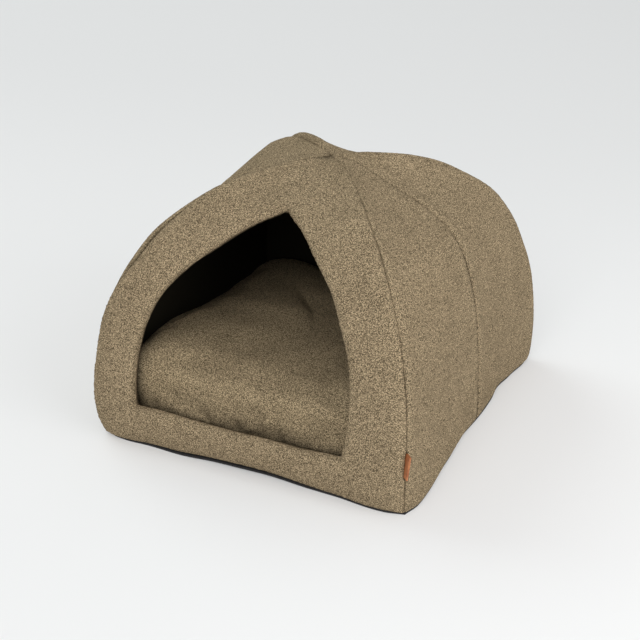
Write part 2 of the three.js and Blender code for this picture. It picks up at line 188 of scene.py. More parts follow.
# Its gathers along the doorway: x, lean, half width, depth (ridges are negative) and how far up they run.
GATHERS = (
    (-0.172, 0.45, 0.009, 0.0030, 0.060),
    (-0.139, 0.30, 0.012, 0.0024, 0.055),
    (-0.100, -0.15, 0.014, 0.0012, 0.035),
    (-0.060, 0.00, 0.012, -0.0010, 0.030),
    (-0.030, 0.10, 0.012, 0.0016, 0.035),
    (0.004, 0.00, 0.010, 0.0022, 0.040),
    (0.024, -0.10, 0.008, -0.0026, 0.045),
    (0.042, -0.20, 0.009, 0.0028, 0.050),
    (0.068, -0.10, 0.010, -0.0014, 0.040),
    (0.086, 0.00, 0.010, 0.0020, 0.045),
    (0.112, 0.15, 0.010, 0.0022, 0.050),
    (0.132, 0.20, 0.009, -0.0016, 0.045),
    (0.150, 0.20, 0.010, 0.0026, 0.045),
)
GATHER_ZONE = {"behind": -0.15, "full": -0.21, "seam_y": -0.232, "soft": 0.004, "taper": 1.5}

# The leather tab in the front right ridge seam, and the room that the fleece leaves round it.
TAB = {
    "length": 0.035, "thick": 0.003, "leather": 0.0012, "depth": 0.017, "root": 0.008, "trim": 0.003,
    "z": 0.085, "tilt": -0.12,
}
TAB_SQUARES = {"x_segments": 36, "y_segments": 20}
TAB_EDGE = 0.0003
TAB_ROOM = {"fade": 0.006, "behind": 0.03, "gap": 0.0005}

# The fleece's surface: mesh spacing outside, how much coarser it is inside, and the curls and the filling's
# lumps of the walls and of the cushion.
FINE = 0.0019
COARSE_RATIO = 4
CURL = {"size": 0.0036, "depth": 0.0004}
SHORT_CURL = {"size": 0.0030, "depth": 0.0005}
LUMP = {"size": 0.075, "depth": 0.0016}
SLACK = {"size": 0.060, "depth": 0.0034}
CURL_SHAPE = {"level": 0.62, "steep": 1.8, "stir": 0.45, "stir_scale": 0.7}

# Curls are lower at a seam, start just above the floor, and on the front rise more at its edges.
SEAM_CURLS = {"least": 0.5, "reach": 0.004}
FLOOR_CURLS = {"below": 0.001, "walls": 0.004, "front": 0.005}
FRONT_FACING = {"from": -0.5, "full": 0.1, "up": 0.6}
LIP_FUZZ = {"more": 1.5, "from": 0.45, "full": 0.90}

# How far and how deep a seam draws the cloth in, how far and how dark the shade painted along it is, and its
# share of these low down and high up, between two heights. The front left ridge is a valley only high up.
SEAM_COLUMNS = ("reach", "depth", "shade", "dark", "low", "high", "from", "to")
RIDGE_SEAM = dict(zip(SEAM_COLUMNS, (0.0045, 0.0008, 0.0022, 0.14, 1, 1, 0, HEIGHT)))
VALLEY_SEAM = dict(zip(SEAM_COLUMNS, (0.0120, 0.0036, 0.0045, 0.60, 0.2, 1, 0.20, 0.32)))
MIDDLE_SEAM = dict(zip(SEAM_COLUMNS, (0.0050, 0.0008, 0.0036, 0.66, 1, 0.4, 0.25, 0.33)))

# Steps along u, which is 0 at the floor and 1 at the top, the widest u, and lengths that count as none.
STEPS = 4001
SAMPLES = np.linspace(0, 1, STEPS)
SLOPE_STEP = 0.002
NORMAL_STEP = 0.004
WIDE_U = 0.2
TINY = 1e-9
CLOSE = 1e-6
WELD = 1e-5


class Columns:
    """Smooth lines through the rows of a table, one for each named column, at u from 0 to 1."""

    def __init__(self, names, rows):
        self.table = dict(zip(names, np.array(rows).T))

    def __getitem__(self, name):
        knots = self.table[name]
        before = 2 * knots[0] - knots[1]
        after = 2 * knots[-1] - knots[-2]
        padded = np.concatenate([[before], knots, [after]])
        spans = len(knots) - 1

        def at(u):
            place = np.clip(np.asarray(u, float), 0, 1) * spans
            span = np.minimum(place.astype(int), spans - 1)
            w = place - span
            p0, p1, p2, p3 = (padded[span + k] for k in range(4))
            t0 = (p2 - p0) / 2
            t1 = (p3 - p1) / 2
            return p1 + t0 * w + (3 * (p2 - p1) - 2 * t0 - t1) * w**2 + (2 * (p1 - p2) + t0 + t1) * w**3

        return at


wall_line = Columns(SECTION_COLUMNS, SECTIONS)
door_line = Columns(DOORWAY_COLUMNS, DOORWAY)
half_width_at = wall_line["half_width"]
FOOT_HALF_WIDTH, FOOT_FRONT = SECTIONS[0][1:3]


def height_at(u):
    return FOOT + wall_line["z"](u) * (HEIGHT - FOOT) / HEIGHT


def u_at_height(z):
    return np.interp(z, height_at(SAMPLES), SAMPLES)


# The walls end where they are as narrow as the peak.
U_TOP = float(np.interp(TIP_HALF, half_width_at(SAMPLES)[::-1], SAMPLES[::-1]))


def unit(v):
    return v / np.maximum(np.linalg.norm(v, axis=-1, keepdims=True), TINY)


def stacked(x, y, z):
    return np.stack(np.broadcast_arrays(x, y, z), axis=-1).astype(float)


def rounded(distance, reach):
    """0 at a seam, 1 from reach on, round like a stuffed edge."""
    rest = 1 - np.clip(distance / reach, 0, 1)
    return np.sqrt(1 - rest**2)


def puff_edge(distance, reach):
    """The same, but it leaves the seam at a slant."""
    return rounded(np.hypot(distance, SEAM_SOFT) - SEAM_SOFT, reach)


def swollen(distance, reach):
    """0 at a seam, 1 at a third of the reach and 0 again from the reach on."""
    t = np.clip(distance / reach, 0, 1)
    return 27 / 4 * t * (1 - t) ** 2


def hump(distance, half):
    """1 in the middle of a wave and 0 from half its length on."""
    return np.where(np.abs(distance) < half, np.cos(np.clip(distance / half, -1, 1) * np.pi / 2) ** 2, 0)


def smooth(low, high, value):
    """0 at low, 1 at high, smooth between them. Low may be the higher one."""
    w = np.clip((value - low) / (high - low), 0, 1)
    return w * w * (3 - 2 * w)


def slope(x_side, y_side, u):
    """The way a ridge runs upwards."""
    low = np.maximum(u - SLOPE_STEP, 0)
    high = np.minimum(u + SLOPE_STEP, 1)
    reach = wall_line["front"] if y_side < 0 else wall_line["back"]
    y_sign = -1 if y_side < 0 else 1
    x = x_side * (half_width_at(high) - half_width_at(low))
    y = y_sign * (reach(high) - reach(low))
    return unit(stacked(x, y, height_at(high) - height_at(low)))


def side_normal(x_side, u):
    rise = slope(x_side, -1, u)
    return unit(stacked(x_side * rise[..., 2], 0, -x_side * rise[..., 0]))


def end_normal(y_side, u):
    rise = slope(1, y_side, u)
    return unit(stacked(0, y_side * rise[..., 2], -y_side * rise[..., 1]))


def seam_point(x_side, y_side, u):
    """A ridge is at the corner (x side, y side), and a middle seam is at (x side, 0)."""
    x = x_side * half_width_at(u)
    if y_side == 0:
        y = TOP_BACK - SEAM_DRIFT * hump(height_at(u) - HEIGHT / 2, HEIGHT / 2)
        return stacked(x, y, height_at(u)) + side_normal(x_side, u) * wall_line["side_bow"](u)[..., None]
    y = -wall_line["front"](u) if y_side < 0 else wall_line["back"](u)
    point = stacked(x, y, height_at(u))
    stretch = RIDGE_MOVES.get((x_side, y_side))
    if stretch:
        share = hump(point[..., 2] - stretch["middle"], stretch["half"])
        point += np.array(stretch["move"]) * share[..., None]
    return point


def seam_inwards(x_side, y_side, u):
    """From a seam to the same seam on the inside, for walls that are 1 thick."""
    side = side_normal(x_side, u)
    if y_side == 0:
        return -side
    end = end_normal(y_side, u)
    return -(side + end) / (1 + (side * end).sum(-1, keepdims=True))


def flat_foot(point, u):
    """Brings the lowest row to one level."""
    point[..., 2] = np.where(u <= 0, FOOT, point[..., 2])
    return point


def inner_seam_point(x_side, y_side, u):
    return flat_foot(seam_point(x_side, y_side, u) + seam_inwards(x_side, y_side, u) * WALL, u)


# Grid rows go up the ridge in even steps.
RIDGE = seam_point(*FRONT_RIGHT, SAMPLES * U_TOP)
RIDGE_RUN = np.concatenate([[0], np.cumsum(np.linalg.norm(np.diff(RIDGE, axis=0), axis=-1))])


def u_along(t):
    return np.interp(t, RIDGE_RUN / RIDGE_RUN[-1], SAMPLES * U_TOP)


def seam_size(seam):
    if seam[1] == 0:
        return MIDDLE_SEAM
    return VALLEY_SEAM if seam == FRONT_LEFT else RIDGE_SEAM


def seam_share(size, u):
    return size["low"] + (size["high"] - size["low"]) * smooth(size["from"], size["to"], height_at(u))


class Wall:
    """One padded wall between two seams. A point is at s of the way between them and at u up its height."""

    def __init__(self, first, second, puff, bow, crown):
        self.seams = (first, second)
        self.puff = PUFF[puff]
        self.bow = wall_line[bow]
        self.crown = crown

    def chord(self, seam, u):
        """From one seam to the other, short of each, to keep walls a gap apart."""
        start, end = (seam(*place, u) for place in self.seams)
        along = unit(end - start) * GAP * math.sqrt(0.5)
        return start + along, end - along

    def width(self, u):
        start, end = self.chord(seam_point, u)
        return np.linalg.norm(end - start, axis=-1)

    def normal(self, s, u):
        start, end = self.chord(seam_point, u)
        low_start, low_end = self.chord(seam_point, np.maximum(u - NORMAL_STEP, 0))
        high_start, high_end = self.chord(seam_point, np.minimum(u + NORMAL_STEP, U_TOP))
        s = s[..., None]
        rise = (high_start + (high_end - high_start) * s) - (low_start + (low_end - low_start) * s)
        return unit(np.cross(end - start, rise))

    def share(self, width):
        """How much of its puff a wall has where it is this wide."""
        return np.minimum(width / self.puff["from_width"], 1) ** 2

    def full_puff(self, s, width):
        return (self.puff["first"] + (self.puff["second"] - self.puff["first"]) * s * s) * self.share(width)

    def seam_distances(self, s, u):
        """How far a point is from the first and from the second seam."""
        width = self.width(u)
        return s * width, (1 - s) * width

    def puffed(self, s, u):
        """How far the padding stands out between the seams."""
        distances = self.seam_distances(s, u)
        edge = 1.0
        for seam, distance in zip(self.seams, distances):
            edge = edge * puff_edge(distance, MIDDLE_REACH if seam[1] == 0 else PUFF_REACH)
        return self.full_puff(s, sum(distances)) * edge * rounded(height_at(u) - FOOT, FLOOR_ROUND)

    def point(self, inner, s, u, more):
        """A point of the inner or the outer face, further out by more."""
        start, end = self.chord(inner_seam_point if inner else seam_point, u)
        out = self.bow(u) * self.crown * s * (1 - s) + more
        return start + (end - start) * s[..., None] + self.normal(s, u) * out[..., None]

    def groove(self, u, distances):
        """How the cloth is drawn into its two seams."""
        pull = 0.0
        for seam, distance in zip(self.seams, distances):
            size = seam_size(seam)
            share = size["depth"] * (1 - rounded(distance, size["reach"])) * seam_share(size, u)
            pull = pull + seam_inwards(*seam, np.maximum(u, NORMAL_STEP)) * share[..., None]
        return pull

    def crease(self, u, distances):
        """How dark the shade painted into its two seams is, from 0 to 1."""
        dark = 0.0
        for seam, distance in zip(self.seams, distances):
            size = seam_size(seam)
            near = 1 - smooth(0, size["shade"], distance)
            dark = np.maximum(dark, size["dark"] * seam_share(size, u) * near)
        return dark

    def swell(self, u, distances):
        """How the filling stands out beside the two seams."""
        out = sum(self.puff["swell"] * swollen(distance, SWELL_REACH) for distance in distances)
        out = out * self.share(sum(distances)) * rounded(height_at(u) - FOOT, FLOOR_ROUND)
        return out + self.filled_out(u, distances)

    def filled_out(self, u, distances):
        """How the wall stands out past a ridge that lies in from the outline."""
        if "fill" not in self.puff:
            return 0.0
        seam, far = self.puff["fill"]
        stretch = RIDGE_MOVES[seam]
        beside = swollen(distances[self.seams.index(seam)], FILL_REACH)
        return far * beside * hump(height_at(u) - stretch["middle"], stretch["half"])


FRONT = Wall(FRONT_LEFT, FRONT_RIGHT, "front", "front_bow", 4)
BACK = Wall(BACK_RIGHT, BACK_LEFT, "back", "back_bow", 4)
RIGHT_FRONT = Wall(FRONT_RIGHT, MIDDLE_RIGHT, "right_front", "side_bow", 1)
RIGHT_BACK = Wall(MIDDLE_RIGHT, BACK_RIGHT, "right_back", "side_bow", 1)
LEFT_BACK = Wall(BACK_LEFT, MIDDLE_LEFT, "left_back", "side_bow", 1)
LEFT_FRONT = Wall(MIDDLE_LEFT, FRONT_LEFT, "left_front", "side_bow", 1)


def arch_rise(x):
    return ARCH["rise"] * hump(x, ARCH["half"])


def wave_at(waves, at):
    return sum(out * hump(at - middle, half) for middle, out, half in waves)


def settle(point):
    """Moves the walls' outer faces, and the base cloth's edge, as the bed has settled on the floor."""
    x, y, z = point[..., 0].copy(), point[..., 1].copy(), point[..., 2]
    low = np.maximum(1 - z / WAVE_FADE, 0) ** 2
    right = wave_at(RIGHT_WAVE, y) * low * hump(x - FOOT_HALF_WIDTH, WAVE_DEPTH)
    point[..., 0] += np.where(x > 0, right, 0)
    point[..., 1] -= wave_at(FRONT_WAVE, x) * low * hump(y + FOOT_FRONT, WAVE_DEPTH)
    return point


def lift_foot(point):
    """Lifts the front's lower edge into its arch."""
    x, y, z = point[..., 0], point[..., 1], point[..., 2]
    low = np.maximum(1 - (z - FOOT) / ARCH["fade"], 0)
    rise = arch_rise(x) + EDGE_GAP["rise"] * hump(x - EDGE_GAP["middle"], EDGE_GAP["half"])
    point[..., 2] += np.where(y < 0, rise * low * hump(y + FOOT_FRONT, ARCH["depth"]), 0)
    return point


# The tab's own place: x outwards from the ridge, y across it towards the right wall, z along it.
TAB_SEAT = Vector(seam_point(*FRONT_RIGHT, u_at_height(np.array(TAB["z"]))))
TAB_OUTWARDS = Matrix.Rotation(-math.pi / 4, 4, "Z")
TAB_PLACE = Matrix.Translation(TAB_SEAT) @ TAB_OUTWARDS @ Matrix.Rotation(TAB["tilt"], 4, "X")


def part_for_tab(co, sign):
    """Parts the fleece round the tab. The front wall is on its side -1, the right wall on its side 1."""
    turn = np.array(TAB_PLACE.to_3x3())
    local = (co - np.array(TAB_SEAT)) @ turn
    half = TAB["length"] / 2
    near = 1 - smooth(half, half + TAB_ROOM["fade"], np.abs(local[:, 2]))
    near *= np.where(local[:, 0] > -TAB_ROOM["behind"], 1, 0)
    across = np.maximum(local[:, 1] * sign, 0)
    room = (TAB["thick"] / 2 + TAB_ROOM["gap"]) * near
    local[:, 1] += sign * (np.sqrt(across**2 + room**2) - across)
    return local @ turn.T + np.array(TAB_SEAT)


# Meshes.
def flat_box(columns, rows, ring=False):
    """A flat box, 1 each way. Its fine top becomes an outer face and its coarse bottom the inner one. A ring
    is open at its two ends."""
    bm = bmesh.new()
    bmesh.ops.create_grid(bm, x_segments=columns, y_segments=rows, size=0.5)
    bmesh.ops.create_grid(
        bm, x_segments=columns // COARSE_RATIO, y_segments=rows // COARSE_RATIO, size=0.5,
        matrix=Matrix.Translation((0, 0, -1)),
    )
    rim = [edge for edge in bm.edges if edge.is_boundary]
    for edge in rim:
        edge.smooth = edge.verts[0].co.z > -0.5
    bmesh.ops.bridge_loops(bm, edges=rim)
    bmesh.ops.recalc_face_normals(bm, faces=bm.faces)
    if ring:
        end = 0.5 - WELD
        ends = [
            face for face in bm.faces
            if min(v.co.y for v in face.verts) > end or max(v.co.y for v in face.verts) < -end
        ]
        bmesh.ops.delete(bm, geom=ends, context="FACES_ONLY")
    return bm


def coordinates(mesh):
    co = np.empty(len(mesh.vertices) * 3, np.float32)
    mesh.vertices.foreach_get("co", co)
    return co.reshape(-1, 3).astype(float)


def move_vertices(mesh, co):
    mesh.vertices.foreach_set("co", co.astype(np.float32).ravel())
    mesh.update()


def vertex_normals(mesh):
    normals = np.empty(len(mesh.vertices) * 3, np.float32)
    mesh.vertex_normals.foreach_get("vector", normals)
    return normals.reshape(-1, 3).astype(float)


def as_piece(name, bm, finish):
    mesh = bpy.data.meshes.new(name)
    bm.to_mesh(mesh)
    bm.free()
    mesh.polygons.foreach_set("use_smooth", [True] * len(mesh.polygons))
    mesh.materials.append(finish)
    piece = bpy.data.objects.new(name, mesh)
    bpy.context.scene.collection.objects.link(piece)
    return piece


def thicken(piece, thickness):
    solid = piece.modifiers.new("thickness", "SOLIDIFY")
    solid.thickness = thickness
    solid.offset = 0


def lumps(co, size, depth):
    """Slow unevenness of the filling."""
    return np.array([noise.noise(Vector(p) / size) for p in co]) * depth


def curls(co, size, depth):
    """Round tufts of fleece, each higher in its middle."""
    heights = np.empty(len(co))
    for k, p in enumerate(co):
        place = Vector(p) / size
        place += CURL_SHAPE["stir"] * noise.noise_vector(place * CURL_SHAPE["stir_scale"])
        heights[k] = noise.voronoi(place)[0][0]
    return (CURL_SHAPE["level"] - heights) * depth * CURL_SHAPE["steep"]


def mark(mesh, name, values):
    """Keeps a value at each vertex for the finish to read."""
    mesh.attributes.new(name, "FLOAT", "POINT").data.foreach_set("value", np.asarray(values, np.float32))


def fleece(piece, mask, curl, lump):
    """Raises the curls and lumps along the normals, where the mask is 1."""
    mesh = piece.data
    co = coordinates(mesh)
    shown = mask > 0.01
    lift = np.zeros(len(co))
    lift[shown] = lumps(co[shown], **lump) + curls(co[shown], **curl)
    move_vertices(mesh, co + vertex_normals(mesh) * (lift * mask)[:, None])


def off_floor(z, reach):
    """0 just below the walls' foot and 1 from the reach above it on."""
    return smooth(FOOT - FLOOR_CURLS["below"], FOOT + reach, z)


def stand_for(piece, node):
    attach(piece, "root")
    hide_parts(node)


def spaced(length):
    """The number of fine squares along a length, one that the coarse squares divide."""
    return max(round(length / FINE / COARSE_RATIO), 3) * COARSE_RATIO


def plain_wall(name, node, wall, finish, tab_side=0):
    """The back, or one half of a side."""
    columns = spaced(float(wall.width(np.array(WIDE_U))))
    piece = as_piece(name, flat_box(columns, spaced(RIDGE_RUN[-1])), finish)
    flat = coordinates(piece.data)
    s = flat[:, 0] + 0.5
    u = u_along(flat[:, 1] + 0.5)
    outside = flat[:, 2] > -0.5
    distances = wall.seam_distances(s, u)
    outer = wall.point(False, s, u, wall.puffed(s, u) + wall.swell(u, distances))
    outer = settle(outer + wall.groove(u, distances))
    inner = wall.point(True, s, u, np.zeros_like(s))
    co = flat_foot(np.where(outside[:, None], outer, inner), u)
    if tab_side:
        co = np.where(outside[:, None], part_for_tab(co, tab_side), co)
    move_vertices(piece.data, co)
    mark(piece.data, "crease", np.where(outside, wall.crease(u, distances), 0))
    mark(piece.data, "lining", np.where(outside, 0, 1))
    least = SEAM_CURLS["least"]
    raised = least + (1 - least) * smooth(0, SEAM_CURLS["reach"], np.minimum(*distances))
    mask = np.where(outside, raised, 0) * off_floor(co[:, 2], FLOOR_CURLS["walls"])
    fleece(piece, mask, CURL, LUMP)
    stand_for(piece, node)


def ring_stations(t):
    """Shares across the wall and u of the front's rim and doorway, at t round it: floor, right, left."""
    floor_end, right_end = 0.28, 0.64
    along_floor = np.clip(t / floor_end, 0, 1)
    right = np.clip((t - floor_end) / (right_end - floor_end), 0, 1)
    left = np.clip((t - right_end) / (1 - right_end), 0, 1)
    on_floor = t < floor_end
    on_right = (t >= floor_end) & (t <= right_end)
    rise = np.where(on_floor, 0, np.where(on_right, right, 1 - left))
    rim_s = np.where(on_floor, along_floor, np.where(on_right, 1.0, 0.0))
    rim_u = u_along(rise)
    v = (rim_u / U_TOP) ** DOOR_LEAD
    door_u = u_at_height(door_line["z"](v))
    edge_left = seam_point(*FRONT_LEFT, door_u)[..., 0]
    door_width = seam_point(*FRONT_RIGHT, door_u)[..., 0] - edge_left
    left_s = (door_line["left"](v) - edge_left) / door_width
    right_s = (door_line["right"](v) - edge_left) / door_width
    sill_s = left_s + (right_s - left_s) * along_floor
    door_s = np.where(on_floor, sill_s, np.where(on_right, right_s, left_s))
    return rim_s, rim_u, door_s, door_u


def front_points(flat, outside):
    """The front's points for a flat box's ones, with their u and their distances from seams and doorway."""
    step = 0.5 - flat[:, 0]
    rim_s, rim_u, door_s, door_u = ring_stations(flat[:, 1] + 0.5)
    none = np.zeros_like(step)
    band = FRONT.point(False, rim_s, rim_u, none) - FRONT.point(False, door_s, door_u, none)
    reach = np.linalg.norm(band, axis=-1)
    s = rim_s + (door_s - rim_s) * step
    u = rim_u + (door_u - rim_u) * step
    to_door = (1 - step) * reach
    to_rim = step * reach
    lip = rounded(to_door, DOOR_ROUND)
    roll = LIP_ROLL["depth"] * (1 - rounded(to_door, LIP_ROLL["reach"]))
    full = FRONT.full_puff(s, 2 * half_width_at(u))
    distances = FRONT.seam_distances(s, u)
    swell = FRONT.swell(u, distances) * smooth(0, DOOR_CLEAR["swell"], to_door)
    outer = FRONT.point(False, s, u, full * lip * puff_edge(to_rim, PUFF_REACH) - roll + swell)
    outer += FRONT.groove(u, distances) * smooth(0, DOOR_CLEAR["groove"], to_door)[:, None]
    behind = (1 - lip) * (WALL - DOOR_LIP)
    inner = FRONT.point(True, s, u, behind)
    straight_back = FRONT.point(False, s, u, behind - WALL)
    inner += (straight_back - inner) * step[:, None]
    co = flat_foot(np.where(outside[:, None], settle(outer), inner), u)
    co = np.where(outside[:, None], part_for_tab(co, -1), co)
    return lift_foot(co), u, distances, to_door


def join_ends(mesh):
    """Joins a ring's two ends."""
    bm = bmesh.new()
    bm.from_mesh(mesh)
    bmesh.ops.remove_doubles(bm, verts=bm.verts, dist=WELD)
    bm.to_mesh(mesh)
    bm.free()


def front_curls(mesh):
    """How much the front's curls rise: on its outer face, and more where that turns to an edge."""
    normal = vertex_normals(mesh)
    outwards = -normal[:, 1] + FRONT_FACING["up"] * np.maximum(normal[:, 2], 0)
    facing = smooth(FRONT_FACING["from"], FRONT_FACING["full"], outwards)
    turned = np.hypot(normal[:, 0], normal[:, 2])
    facing *= 1 + LIP_FUZZ["more"] * smooth(LIP_FUZZ["from"], LIP_FUZZ["full"], turned)
    return facing * off_floor(coordinates(mesh)[:, 2], FLOOR_CURLS["front"])


def front_wall(name, node, finish):
    piece = as_piece(name, flat_box(spaced(FRONT_BAND), spaced(FRONT_RING), ring=True), finish)
    flat = coordinates(piece.data)
    outside = flat[:, 2] > -0.5
    co, u, distances, to_door = front_points(flat, outside)
    move_vertices(piece.data, co)
    mark(piece.data, "crease", np.where(outside, FRONT.crease(u, distances), 0))
    mark(piece.data, "lining", np.where(outside, 0, smooth(0, LINING_FADE, to_door)))
    join_ends(piece.data)
    fleece(piece, front_curls(piece.data), CURL, LUMP)
    stand_for(piece, node)


def foot_outline(t):
    """The walls' foot, once round from the front left corner, at t from 0 to 1."""
    faces = (FRONT, RIGHT_FRONT, RIGHT_BACK, BACK, LEFT_BACK, LEFT_FRONT)
    ends = np.cumsum([float(face.width(np.array(0.0))) for face in faces])
    ends /= ends[-1]
    starts = np.concatenate([[0], ends[:-1]])
    points = np.zeros((len(t), 3))
    for face, start, end in zip(faces, starts, ends):
        here = (t >= start) & (t <= end)
        s = (t[here] - start) / (end - start)
        points[here] = face.point(False, s, np.zeros_like(s), np.zeros_like(s))
    return settle(points)


def square_rings(a, b):
    """How far out a square's points are, from 0 to 1, and where they are on its outermost ring."""
    level = np.maximum(np.abs(a), np.abs(b))
    safe = np.maximum(level, TINY)
    return level, a / safe, b / safe


def base_cloth(name, node, finish):
    """A square sheet whose rings follow the walls' foot, its front edge lifted into the arch."""
    bm = bmesh.new()
    bmesh.ops.create_grid(bm, x_segments=BASE_SQUARES, y_segments=BASE_SQUARES, size=1)
    piece = as_piece(name, bm, finish)
    flat = coordinates(piece.data)
    level, across, along = square_rings(flat[:, 0], flat[:, 1])
    sides = np.select(
        [along <= -1 + CLOSE, across >= 1 - CLOSE, along >= 1 - CLOSE],
        [(across + 1) / 2, 1 + (along + 1) / 2, 2 + (1 - across) / 2],
        default=3 + (1 - along) / 2,
    )
    front_width = float(FRONT.width(np.array(0.0)))
    side_width = float(RIGHT_FRONT.width(np.array(0.0)) + RIGHT_BACK.width(np.array(0.0)))
    corners = np.cumsum([0, front_width, side_width, front_width, side_width])
    t = np.interp(sides, np.arange(5), corners / corners[-1])
    co = foot_outline(np.clip(t, 0, 1)) * level[:, None]
    proud = BASE_PROUD * smooth(*BASE_SHOWS["left"], co[:, 0]) * smooth(*BASE_SHOWS["right"], co[:, 0])
    proud = proud * smooth(*BASE_SHOWS["front"], co[:, 1])
    co[:, :2] *= (1 + proud / FOOT_HALF_WIDTH)[:, None]
    lifted = np.where(co[:, 1] < 0, arch_rise(co[:, 0]) * hump(co[:, 1] + FOOT_FRONT, ARCH["depth"]), 0)
    co[:, 2] = BASE_THICK / 2 + lifted
    move_vertices(piece.data, co)
    thicken(piece, BASE_THICK)
    stand_for(piece, node)


def crown_height(reach, fullness):
    """The crown's height over its seam, from 1 in its middle to 0 at its edge."""
    return np.maximum(1 - reach ** CUSHION["flatness"], 0) ** fullness


def crown_profile():
    """Reach from the middle of the crown over its edge to the seam, at even steps along the cloth."""
    reach = 1 - np.linspace(1, 0, STEPS) ** 3
    height = CUSHION["seam"] + CUSHION["crown"] * crown_height(reach, CUSHION["fullness"])
    run = np.hypot(np.diff(reach) * CUSHION["half_width"], np.diff(height))
    length = np.concatenate([[0], np.cumsum(run)])
    return length / length[-1], reach


def crown_fullness(x, y, bulge):
    """The power of the crown's fall to its edge, low where it is full: in front, at the left and the bulge."""
    fullness = CUSHION["fullness"] + (FRONT_FULL["fullness"] - CUSHION["fullness"]) * smooth(*FULLER, y)
    fullness += (np.minimum(LEFT_FULLNESS, fullness) - fullness) * smooth(*FULLER, x)
    return fullness + (BULGE["fullness"] - fullness) * bulge


def pillow_points(flat, less):
    """The cushion's points for a flat box's ones, less smaller all round."""
    crown = flat[:, 2] > -0.5
    level, p, q = square_rings(flat[:, 0] * 2, flat[:, 1] * 2)
    low_reach = np.interp(level, CUSHION_SIDE_LEVELS, CUSHION_SIDE_REACH)
    low_height = np.interp(level, CUSHION_SIDE_LEVELS, CUSHION_SIDE_HEIGHT)
    reach = np.where(crown, np.interp(level, *crown_profile()), low_reach)
    n = np.where(q < 0, FRONT_FULL["squareness"], CUSHION["squareness"])
    norm = np.maximum((np.abs(p) ** n + np.abs(q) ** n) ** (1 / n), TINY)
    x, y = p / norm * reach, q / norm * reach
    back = np.maximum(y, 0)
    corner = 1 - CUSHION["corner_drop"] * (np.abs(x) * back) ** 1.5
    bulge = hump(x * CUSHION["half_width"] - BULGE["x"], BULGE["half_x"])
    bulge = bulge * hump(y * CUSHION["half_depth"] - BULGE["y"], BULGE["half_y"])
    rise = CUSHION["crown"] * corner + BULGE["rise"] * bulge
    top_height = CUSHION["seam"] + rise * crown_height(reach, crown_fullness(x, y, bulge))
    top_height -= CUSHION["back_drop"] * back * (1 - reach**8)
    z = FOOT + less + np.where(crown, top_height - 2 * less, low_height)
    return stacked(x * (CUSHION["half_width"] - less), y * (CUSHION["half_depth"] - less), z)


def baked(piece):
    """The piece's mesh as its modifiers and frame leave it."""
    seen = piece.evaluated_get(bpy.context.evaluated_depsgraph_get())
    return bpy.data.meshes.new_from_object(seen)


def blow_up(piece):
    """Lets pressure fill the piece like a bag of cloth, each point moving no further than the cap."""
    scene = bpy.context.scene
    start = coordinates(piece.data)
    cloth = piece.modifiers.new("filling", "CLOTH")
    cloth.settings.use_pressure = True
    cloth.settings.uniform_pressure_force = PLUMP["pressure"]
    cloth.settings.effector_weights.gravity = 0
    for step in range(1, PLUMP["frames"] + 1):
        scene.frame_set(step)
    grown = baked(piece)
    piece.modifiers.clear()
    moved = coordinates(grown) - start
    far = np.linalg.norm(moved, axis=1, keepdims=True)
    move_vertices(piece.data, start + moved * np.minimum(1, PLUMP["cap"] / np.maximum(far, TINY)))
    scene.frame_set(1)


def plumped(piece):
    """Gives the piece an even mesh, blows it up and makes its mesh finer."""
    remesh = piece.modifiers.new("even", "REMESH")
    remesh.mode = "VOXEL"
    remesh.voxel_size = PLUMP["voxel"]
    even = baked(piece)
    piece.modifiers.clear()
    piece.data = even
    blow_up(piece)
    finer = piece.modifiers.new("finer", "SUBSURF")
    finer.levels = finer.render_levels = 1
    fine_mesh = baked(piece)
    piece.modifiers.clear()
    piece.data = fine_mesh
    fine_mesh.polygons.foreach_set("use_smooth", [True] * len(fine_mesh.polygons))


def gathered(co):
    """How deep the cushion's cloth is drawn in by the gathers along its front seam."""
    zone = GATHER_ZONE
    front = smooth(zone["behind"], zone["full"], co[:, 1])
    up = np.hypot(np.maximum(co[:, 2] - FOOT - CUSHION["seam"], 0), zone["soft"])
    above = up + np.maximum(co[:, 1] - zone["seam_y"], 0)
    depth = np.zeros(len(co))
    for x, lean, half, deep, run in GATHERS:
        across = (co[:, 0] - x - lean * above) / half
        depth += deep * np.exp(-(across**2)) * np.clip(1 - above / run, 0, 1) ** zone["taper"]
    return depth * front


def creased(co):
    """How deep the crease is drawn into the crown."""
    start, end = np.array(CREASE["from"]), np.array(CREASE["to"])
    run = end - start
    length = np.linalg.norm(run)
    along = ((co[:, :2] - start) @ run) / length**2
    across = ((co[:, :2] - start) @ np.array([-run[1], run[0]])) / length
    off = across - CREASE["bend"] * np.sin(np.clip(along, 0, 1) * math.pi)
    half = np.where(off > 0, CREASE["right"], CREASE["left"])
    begun = smooth(-CREASE["fade"], CREASE["fade"], along)
    ended = smooth(1 - CREASE["fade"], 1 + CREASE["fade"], along)
    fade = begun * (1 - ended) * (co[:, 2] > CREASE["above"])
    return CREASE["depth"] * np.exp(-np.abs(off / half) ** CREASE["sharpness"]) * fade


